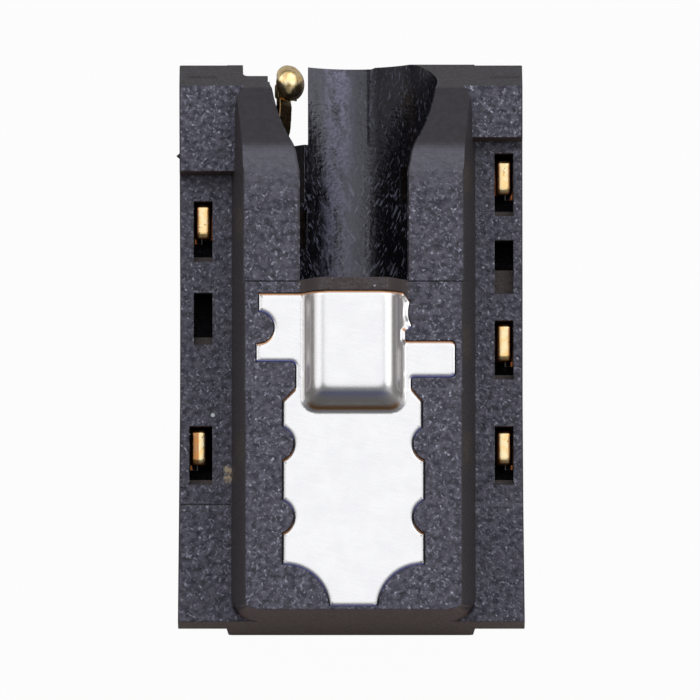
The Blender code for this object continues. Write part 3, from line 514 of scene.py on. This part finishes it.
def plastic():
    """Spark-eroded moulding: flats with painted glints, slopes and sides painted in shade, a polished
    trough painted with shade and a sheen.
    """
    material, n, shader = principled("spark_eroded_plastic")
    point = n.point()
    on = moulding_regions(n, point)
    grain = moulding_grain(n, point, on.worn_nose)
    scratches = trough_scratches(n, point)
    mottle = n.streaks(point, scale=(6.0, 2.2, 6.0), turn_deg=-12.0, detail=4.0, roughness=0.65)
    # A painted sheen along the trough's band, mottled
    worn = n.product(on.band, n.ramp(mottle, MOTTLE_SPAN, (0.15, 1.0)),
                     n.ramp(grain.fine, TROUGH_SHEEN_SPAN, (0.50, 1.0)))
    scuff = n.product(n.spot(point, SCUFF, SCUFF_SIZE), n.rise(grain.coarse, SCUFF_SPAN))

    tone = n.mix(n.rise(grain.coarse, GRAIN_SPAN), GRAIN_HOLLOW, GRAIN_CREST)
    tone = n.layers(tone, (
        (grain.cloud, 0.3, CLOUD_GREY),
        (grain.pits, 0.45, PIT_DARK),
        # painted glints, faint
        (grain.flecks, 0.60, FLECK_GLINT_PALE),
        # painted sheen on the nose
        (on.sheen, 0.8, NOSE_SHEEN),
        # painted shade on slopes
        (n.invert(on.level), 0.90, SLOPE_SHADE),
        # painted shade on upright sides
        (on.upright, 0.85, UPRIGHT_SHADE),
        # painted highlight along the steps
        (on.lines, 0.45, STEP_HIGHLIGHT),
        # painted light on the closed end's walls
        (on.closed_end, 0.8, CLOSED_END_LIT_BROWN),
        (on.lip, 0.85, LIP_BROWN),
        # painted glints, bright, on the flats
        (n.product(grain.glints, on.flats), 0.8, GLINT_WHITE),
        # the trough's black, with painted shade
        (on.trough, 0.97, TROUGH_BLACK_AND_SHADE),
        # painted sheen in the trough
        (worn, 0.9, TROUGH_SHEEN_BLUE),
        # scratches with painted glints
        (n.product(scratches, on.trough), 0.70, SCRATCH_GLINT_BLUE),
        # painted shade deep in the windows
        (on.deep, 0.93, WINDOW_DEPTH_SHADE),
        # painted light on the window shelves
        (on.shelf, 0.8, SHELF_PAINTED_LIGHT),
        # painted shadow at the corners
        (on.corner, 0.8, CORNER_SHADOW),
        (n.spot(point, SPECK, SPECK_SIZE), 1.0, SPECK_WHITE),
        (scuff, 1.0, SCUFF_TAN),
    ))

    bevel = n.add("ShaderNodeBevel", samples=6)
    n.set(bevel, Radius=MOULD_BEVEL)
    height = n.math("ADD", n.product(grain.waves, n.ramp(on.flats, (0.0, 1.0), (0.15, 1.0))),
                    n.product(n.math("ADD", grain.fine, mottle), on.trough, TROUGH_RELIEF))
    bump = n.add("ShaderNodeBump")
    n.set(bump, Strength=0.9, Distance=GRAIN_DEPTH, Height=height, Normal=bevel.outputs[0])

    shine = n.ramp(grain.fine, (0.3, 0.7), MATT_ROUGHNESS)
    smooth = n.ramp(mottle, (0.35, 0.65), POLISHED_ROUGHNESS)
    rough = n.math("ADD", n.product(n.invert(on.trough), shine), n.product(on.trough, smooth))
    gloss = n.math("ADD", SPECULAR, n.product(on.glossy, TROUGH_SPECULAR - SPECULAR))
    gloss = n.product(gloss, n.invert(n.product(on.deep, 0.8)),
                      n.ramp(on.upright, (0.0, 1.0), (1.0, 0.5)))
    n.set(shader, Base_Color=tone, Roughness=rough, Normal=bump.outputs[0],
          Specular_IOR_Level=gloss, Specular_Tint=PLASTIC_SPECULAR)
    return material


def steel():
    """Bright stainless sheet: fine drawn lines, soft blotches, tinted sheared edges, painted shade on the
    channel's flanks.
    """
    material, n, shader = principled("brushed_stainless")
    point = n.point()
    _, along, up = n.normal()
    _, _, z = n.split(point)
    drawn = n.streaks(point, scale=(30.0, 1.2, 30.0), detail=3.0, roughness=0.6)
    wiped = n.streaks(point, scale=(2.0, 22.0, 2.0), turn_deg=12.0, detail=3.0, roughness=0.6)
    cloud = n.noise(point, scale=2.2, detail=3.0, roughness=0.6)
    flank = n.fall(up, FLANK_FACING)
    channel_end = n.product(n.rise(along, CLOSED_FACING), n.rise(z, CHANNEL_FOOT))
    edge = n.fall(up, EDGE_FACING)
    warm = n.product(n.fall(along, MOUTH_EDGE_FACING), edge)
    cool = n.product(n.rise(along, CLOSED_EDGE_FACING), edge, n.fall(z, CHANNEL_START))

    tone = n.mix(n.rise(cloud, (0.3, 0.75)), STEEL_DULL, STEEL_BRIGHT)
    tone = n.layers(tone, (
        # painted shade on the flanks
        (flank, 0.6, FLANK_SHADE_GREY),
        (channel_end, n.fall(z, CHANNEL_BROWN), FOOT_BROWN),
        (channel_end, n.rise(z, CHANNEL_BLUE), BROW_BLUE),
        (warm, 0.9, EDGE_ORANGE),
        (cool, 0.9, EDGE_BLUE),
    ))
    height = n.math("ADD", n.math("MULTIPLY", wiped, 0.05),
                    n.product(drawn, n.ramp(flank, (0.0, 1.0), (0.05, 0.25))))
    bump = n.add("ShaderNodeBump")
    n.set(bump, Strength=0.10, Distance=BRUSHING_DEPTH, Height=height)
    metal = n.invert(n.product(n.math("MAXIMUM", warm, cool), 0.75))
    rough = n.math("SUBTRACT", n.ramp(wiped, (0.3, 0.7), STEEL_ROUGHNESS), n.product(flank, 0.08))
    n.set(shader, Base_Color=tone, Metallic=metal, Roughness=rough, Normal=bump.outputs[0])
    return material


def gold():
    """Gold plating over a rolled strip: rolled lines, darker pits, and painted shade down in the windows,
    on the folds' sides and on the arm in the bore.
    """
    material, n, shader = principled("gold_plate")
    point = n.point()
    x, y, z = n.split(point)
    facing = n.normal()[2]
    across = n.math("ABSOLUTE", x)
    rolled = n.streaks(point, scale=(40.0, 6.0, 40.0), detail=2.0, roughness=0.6)
    blotch = n.noise(point, scale=7.0, detail=3.0, roughness=0.6)
    pits = n.rise(n.noise(point, scale=13.0, detail=2.0, roughness=0.5), (0.62, 0.72))
    in_window = n.rise(across, WINDOW_WALL)
    shade = n.product(in_window, n.fall(z, WINDOW_SHADE))
    # The folds' sides, where shade is painted
    sides = n.math("MAXIMUM", n.fall(facing, FOLD_FACING),
                   n.rise(n.distance(across, FOLD_X), FOLD_HALF))
    # The arms in the bore, where shade is painted
    arm = n.product(n.fall(across, BORE_WALL), n.rise(y, ARM_START))

    tone = n.mix(n.rise(blotch, (0.35, 0.65)), GOLD_DEEP, GOLD_PALE)
    tone = n.layers(tone, (
        (pits, 0.6, GOLD_PIT),
        (shade, 0.85, GOLD_SHADE),
        # painted shade on the folds' sides
        (n.product(sides, in_window), 0.85, GOLD_SIDE_SHADE),
        # painted shade on the arms in the bore
        (arm, n.ramp(across, ARM_ACROSS, ARM_SHADE_LEVELS), GOLD_ARM_SHADE),
    ))
    bump = n.add("ShaderNodeBump")
    n.set(bump, Strength=0.15, Distance=ROLLING_DEPTH, Height=n.math("ADD", rolled, blotch))
    rough = n.ramp(blotch, (0.3, 0.7), GOLD_ROUGHNESS)
    n.set(shader, Base_Color=tone, Metallic=1.0, Roughness=rough, Normal=bump.outputs[0])
    return material


def dress(obj, material):
    obj.data.materials.clear()
    obj.data.materials.append(material)


def ride(piece, material, body):
    """Dress a piece, and let it ride on a body."""
    dress(piece, material)
    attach(piece, body)


def new_object(name, bm):
    """An object made from a bmesh, which is freed."""
    mesh = bpy.data.meshes.new(name)
    bm.to_mesh(mesh)
    bm.free()
    obj = bpy.data.objects.new(name, mesh)
    bpy.context.scene.collection.objects.link(obj)
    return obj


def joined_copy(node):
    """A bmesh of a CAD node with the corners that its shading split joined again."""
    bm = bmesh.new()
    bm.from_mesh(node.data)
    bmesh.ops.remove_doubles(bm, verts=bm.verts, dist=WELD)
    bm.normal_update()
    return bm


def outline_from_above(upper):
    """The loop round a patch of upward faces, anticlockwise, as (x, y) points."""
    ahead = {}
    for face in upper:
        for loop in face.loops:
            if not any(other in upper for other in loop.edge.link_faces if other is not face):
                ahead[loop.vert] = loop.link_loop_next.vert
    first = next(iter(ahead))
    ring = [first]
    here = ahead[first]
    while here is not first:
        ring.append(here)
        here = ahead[here]
    return [v.co.xy.copy() for v in ring]


def resampled(ring, shortest, longest):
    """The outline without its tiny edges, and with its long ones divided."""
    kept = []
    for point in ring:
        if not kept or (point - kept[-1]).length > shortest:
            kept.append(point)
    if (kept[0] - kept[-1]).length <= shortest:
        kept.pop()
    points = []
    for here, there in zip(kept, kept[1:] + kept[:1]):
        parts = max(1, math.ceil((there - here).length / longest))
        points += [here.lerp(there, k / parts) for k in range(parts)]
    return points


def inset(ring, distance):
    """The outline moved inwards by a distance."""
    moved = []
    for i, here in enumerate(ring):
        back = (here - ring[i - 1]).normalized()
        ahead = (ring[(i + 1) % len(ring)] - here).normalized()
        along = (back + ahead).normalized()
        inward = Vector((-along.y, along.x))
        stretch = max(INSET_LEAST, along.dot(back))
        moved.append(here + inward * (distance / stretch))
    return moved


def height_at(tree, x, y):
    """The plate's upper surface at a point, or None beside it."""
    hit, normal, _, _ = tree.ray_cast(Vector((x, y, PROBE_HEIGHT)), Vector((0, 0, -1)))
    if hit is None or normal.z <= PLATE_UPWARD:
        return None
    return hit.z


def drawn_height(tree, x, y):
    """The plate's upper surface, eased over the channel's crown as drawn metal is."""
    around = []
    for reach in (CROWN_EASE / 2, CROWN_EASE):
        for k in range(CROWN_PROBES):
            angle = math.tau * k / CROWN_PROBES
            height = height_at(tree, x + reach * math.cos(angle), y + reach * math.sin(angle))
            if height is not None:
                around.append(height)
    here = height_at(tree, x, y)
    if here is None:
        here = tree.find_nearest(Vector((x, y, PLATE_LEVEL)))[0].z
    if not around:
        return here
    return min(here, sum(around) / len(around))


def inside_points(ring, spacing):
    """A staggered grid of points inside an outline, clear of its edge."""
    low = Vector((min(p.x for p in ring), min(p.y for p in ring)))
    high = Vector((max(p.x for p in ring), max(p.y for p in ring)))
    points = []
    rows = int((high.y - low.y) / spacing)
    for j in range(1, rows):
        y = low.y + j * spacing
        crossings = []
        for here, there in zip(ring, ring[1:] + ring[:1]):
            if (here.y > y) != (there.y > y):
                crossings.append(here.x + (there.x - here.x) * (y - here.y) / (there.y - here.y))
        crossings.sort()
        for start, end in zip(crossings[::2], crossings[1::2]):
            x = start + spacing * GRID_STARTS[j % 2]
            while x < end - spacing * GRID_CLEARANCE:
                points.append(Vector((x, y)))
                x += spacing
    return points


def rolled_rims(sheet, ring, tree):
    """Rings of vertices that roll the sheet's edge over, from its side up to its top."""
    probe = inset(ring, PLATE_EDGE_ROUND)
    heights = [drawn_height(tree, p.x, p.y) for p in probe]
    rims = []
    for k in range(EDGE_STEPS + 1):
        angle = math.radians(90 * k / EDGE_STEPS)
        drop = PLATE_EDGE_DROP * (1 - math.sin(angle))
        level = inset(ring, PLATE_EDGE_ROUND * (1 - math.cos(angle)))
        rims.append([sheet.verts.new((p.x, p.y, h - drop)) for p, h in zip(level, heights)])
    return rims


def make_plate(material):
    """The stamped plate as one fine sheet with rolled edges and a smooth drawn channel."""
    bm = joined_copy(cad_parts["cover_plate"])
    upper = {face for face in bm.faces if face.normal.z > PLATE_UPWARD}
    outline = resampled(outline_from_above(upper), PLATE_SHORTEST_EDGE, PLATE_GRID)
    ring = inset(outline, -PLATE_GROWTH)
    tree = BVHTree.FromBMesh(bm)
    bm.free()

    sheet = bmesh.new()
    rims = rolled_rims(sheet, ring, tree)
    top_ring = [v.co.xy.copy() for v in rims[-1]]
    under_rim = [sheet.verts.new((v.co.x, v.co.y, w.co.z - PLATE_THICKNESS))
                 for v, w in zip(rims[0], rims[-1])]
    cloud = top_ring + inside_points(top_ring, PLATE_GRID)
    edges = [(i, (i + 1) % len(top_ring)) for i in range(len(top_ring))]
    points, _, faces, origins, _, _ = delaunay_2d_cdt(cloud, edges, [], 1, TRIANGULATION_MERGE)
    upper_verts = []
    lower_verts = []
    for p, sources in zip(points, origins):
        source = min(sources, default=len(cloud))
        if source < len(top_ring):
            upper_verts.append(rims[-1][source])
            lower_verts.append(under_rim[source])
            continue
        height = drawn_height(tree, p.x, p.y)
        upper_verts.append(sheet.verts.new((p.x, p.y, height)))
        lower_verts.append(sheet.verts.new((p.x, p.y, height - PLATE_THICKNESS)))
    for face in faces:
        sheet.faces.new([upper_verts[i] for i in face])
        sheet.faces.new([lower_verts[i] for i in reversed(face)])
    for low, high in zip([under_rim] + rims, rims):
        for i in range(len(ring)):
            j = (i + 1) % len(ring)
            sheet.faces.new((low[i], low[j], high[j], high[i]))
    bmesh.ops.recalc_face_normals(sheet, faces=sheet.faces)

    plate = new_object("plate", sheet)
    plate.data.shade_smooth()
    ride(plate, material, "socket_body")
    plate.data.set_sharp_from_angle(angle=math.radians(PLATE_SHARP_DEG))
    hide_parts("cover_plate")


def divide(bm, longest):
    """Split long edges, so that a form can be bent smoothly."""
    for _ in range(DIVIDE_ROUNDS):
        long_edges = [e for e in bm.edges if e.calc_length() > longest]
        if not long_edges:
            return
        bmesh.ops.subdivide_edges(bm, edges=long_edges, cuts=1)
        bmesh.ops.triangulate(bm, faces=bm.faces[:])


def apply_modifiers(obj):
    """Bake an object's modifiers into its mesh."""
    graph = bpy.context.evaluated_depsgraph_get()
    made = bpy.data.meshes.new_from_object(obj.evaluated_get(graph))
    obj.modifiers.clear()
    obj.data = made


def make_spring(name, body, material, smoothing, shape):
    """A spring with its stamped edges rounded by wear, made from its CAD solid.

    It is remeshed in millimetres, as the modifier takes no voxel this small in metres.
    """
    bm = joined_copy(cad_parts[name])
    divide(bm, SPRING_GRID)
    shape(bm)
    bmesh.ops.scale(bm, vec=(1 / MM, 1 / MM, 1 / MM), verts=bm.verts)
    spring = new_object(name + "_spring", bm)
    remesh = spring.modifiers.new("rounding", "REMESH")
    remesh.mode = "VOXEL"
    remesh.voxel_size = SPRING_VOXEL
    smooth = spring.modifiers.new("wear", "SMOOTH")
    smooth.iterations = smoothing
    apply_modifiers(spring)
    spring.data.transform(Matrix.Diagonal((MM, MM, MM, 1)))
    spring.data.shade_smooth()
    ride(spring, material, body)
    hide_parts(name)


def flatten_fold(bm):
    """The crown of a side spring's fold, wider and flatter from wear, which dips at both ends."""
    crown = max(v.co.z for v in bm.verts) - FOLD_WEAR
    start = min(v.co.y for v in bm.verts)
    end = max(v.co.y for v in bm.verts)
    fold = [v for v in bm.verts if v.co.z > crown - FOLD_SPREAD_DEPTH]
    middle = (min(v.co.x for v in fold) + max(v.co.x for v in fold)) / 2
    full = FOLD_SPREAD_DEPTH * FOLD_SPREAD_FULL
    for v in fold:
        share = min(1.0, (v.co.z - crown + FOLD_SPREAD_DEPTH) / full)
        v.co.x += (v.co.x - middle) * FOLD_SPREAD * share
        if v.co.z > crown:
            v.co.z = crown + (v.co.z - crown) * FOLD_FLATTEN
    for v in bm.verts:
        near_end = 1 - min(v.co.y - start, end - v.co.y) / FOLD_DIP_LENGTH
        if near_end > 0 and v.co.z > crown - FOLD_DIP_REACH:
            share = (v.co.z - crown + FOLD_DIP_REACH) / FOLD_DIP_REACH
            v.co.z -= FOLD_DIP * near_end ** 2 * min(1.0, share)


def shape_head(bm):
    """The sleeve spring's domed head, over its rolled end, whose lugs are drawn in."""
    turn = math.radians(HEAD_TURN_DEG)
    across = Vector((math.cos(turn), 0, -math.sin(turn)))
    centre = ORIGIN + HEAD_CENTRE
    for v in bm.verts:
        share = (LUG_END - v.co.y + ORIGIN.y) / (LUG_END - LUG_START)
        draw_in = LUG_DRAW_IN * min(1.0, max(0.0, share))
        v.co -= across * (across.dot(v.co - centre) * draw_in)
    rotation = Matrix.Rotation(turn, 3, "Y").to_quaternion()
    place = Matrix.LocRotScale(centre, rotation, HEAD_SIZE)
    bmesh.ops.create_icosphere(bm, subdivisions=HEAD_SUBDIVISIONS, radius=1.0, matrix=place)


def make_flash(material):
    """A sliver of moulding flash on the left flange's edge."""
    bm = bmesh.new()
    low = [bm.verts.new(to_world(*p)) for p in FLASH]
    high = [bm.verts.new(v.co + Vector((0, 0, FLASH_THICKNESS))) for v in low]
    bm.faces.new(low[::-1])
    bm.faces.new(high)
    for i in range(len(FLASH)):
        j = (i + 1) % len(FLASH)
        bm.faces.new((low[i], low[j], high[j], high[i]))
    bmesh.ops.bevel(bm, geom=bm.edges[:], offset=FLASH_ROUND, segments=2, affect="EDGES")
    flash = new_object("flash", bm)
    flash.data.shade_smooth()
    ride(flash, material, "socket_body")


def make_camera():
    data = bpy.data.cameras.new("camera")
    camera = bpy.data.objects.new("camera", data)
    bpy.context.scene.collection.objects.link(camera)
    tilt = math.radians(TILT_DEG)
    back = Vector((0, math.sin(tilt), math.cos(tilt)))
    up = Vector((0, -math.cos(tilt), math.sin(tilt)))
    right = up.cross(back)
    place = Matrix.Translation(ORIGIN + VIEW_CENTRE + back * CAMERA_DISTANCE)
    camera.matrix_world = place @ Matrix((right, up, back)).transposed().to_4x4()
    width = PIXELS / PIXELS_PER_MM * MM
    data.sensor_width = SENSOR
    data.lens = SENSOR * CAMERA_DISTANCE / width
    data.clip_start = CLIP_START
    data.clip_end = CLIP_END
    bpy.context.scene.camera = camera


def blend(n, share, plain, seen, output):
    """One shader, and another one by a share, into an output."""
    mix = n.add("ShaderNodeMixShader")
    for socket, value in zip(mix.inputs, (share, plain.outputs[0], seen.outputs[0])):
        n.feed(socket, value)
    n.feed(output.inputs[0], mix.outputs[0])


def make_world():
    """A soft studio: a bright patch overhead, and a dimmer room, darkest to one side."""
    world = bpy.data.worlds.new("studio")
    bpy.context.scene.world = world
    world.use_nodes = True
    n = Nodes(world.node_tree)
    x, y, z = n.split(n.add("ShaderNodeTexCoord").outputs["Generated"])
    above = n.math("MAXIMUM", z, HORIZON)
    offsets = []
    for part, centre, reach in zip((x, y), PATCH_CENTRE, PATCH_REACH):
        offset = n.math("SUBTRACT", n.math("DIVIDE", part, above), centre)
        offsets.append(n.math("POWER", n.math("DIVIDE", offset, reach), 2.0))
    patch = n.fall(n.math("SQRT", n.math("ADD", *offsets)), (PATCH_CORE, 1.0))
    band = n.product(n.rise(z, BAND_BOTTOM), n.fall(z, BAND_TOP))
    front = n.ramp(y, FRONT_SPREAD, (FRONT_LEVEL, 0.0))
    side = n.product(n.ramp(x, SIDE_SPREAD, SIDE_LEVELS),
                     n.ramp(y, SIDE_FADE, (1.0, SIDE_LEVEL_BEHIND)))
    room = n.product(n.ramp(x, ROOM_SPREAD, ROOM_LEVELS),
                     n.ramp(z, ROOM_RISE, (ROOM_LEVEL_LOW, 1.0)),
                     n.ramp(y, ROOM_FADE, (1.0, ROOM_LEVEL_BEHIND)))
    room = n.math("ADD", room, n.product(band, n.math("MAXIMUM", front, side)))
    level = n.math("ADD", room, n.math("MULTIPLY", patch, n.math("SUBTRACT", PATCH_LEVEL, room)))
    studio = world.node_tree.nodes["Background"]
    n.set(studio, Color=(1.0, 1.0, 1.0, 1), Strength=level)
    white = n.add("ShaderNodeBackground")
    n.set(white, Strength=1.0)
    blend(n, n.seen(WORLD_IN_GLOSS), studio, white, world.node_tree.nodes["World Output"])


def make_floor():
    """A pale floor that glows for the camera, except in a strip beneath each flange, painted darker as its
    shadow.
    """
    bm = bmesh.new()
    bmesh.ops.create_grid(bm, x_segments=1, y_segments=1, size=FLOOR_HALF)
    floor = new_object("floor", bm)
    floor.location = (0, 0, -FLOOR_DROP)
    material, n, shader = principled("pale_floor")
    x, y, _ = n.split(n.add("ShaderNodeNewGeometry").outputs["Position"])
    reach = n.math("ABSOLUTE", x)
    under = n.product(n.rise(reach, UNDER_INNER), n.fall(reach, UNDER_OUTER),
                      n.fall(n.math("ABSOLUTE", y), UNDER_ENDS))
    # The strip beneath the flanges is painted darker, as their shadow
    n.set(shader, Base_Color=n.mix(under, FLOOR_GREY, UNDER_SHADOW_GREY), Roughness=0.9)
    glow = n.add("ShaderNodeEmission")
    n.set(glow, Strength=1.0)
    share = n.product(n.seen(FLOOR_IN_GLOSS), n.invert(under), FLOOR_GLOW)
    blend(n, share, shader, glow, n.tree.nodes["Material Output"])
    dress(floor, material)


def area_light(name, direction, power):
    """A round softbox that faces the part from a direction."""
    data = bpy.data.lights.new(name, "AREA")
    data.shape = "DISK"
    data.size = LAMP_SIZE
    data.energy = power
    light = bpy.data.objects.new(name, data)
    bpy.context.scene.collection.objects.link(light)
    back = Vector(direction).normalized()
    light.location = back * LAMP_DISTANCE
    light.rotation_euler = back.to_track_quat("Z", "Y").to_euler()


def main():
    make_camera()
    make_world()
    make_floor()
    area_light("key", KEY_DIRECTION, KEY_POWER)
    area_light("fill", FILL_DIRECTION, FILL_POWER)
    housing = plastic()
    dress(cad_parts["housing"], housing)
    make_flash(housing)
    make_plate(steel())
    metal = gold()
    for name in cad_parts:
        if name.startswith("contact"):
            body = name.replace("contact_", "") + "_spring"
            if name == "contact_sleeve":
                make_spring(name, body, metal, SLEEVE_SMOOTHING, shape_head)
            else:
                make_spring(name, body, metal, SPRING_SMOOTHING, flatten_fold)
    bpy.context.scene.view_settings.view_transform = "Standard"


main()
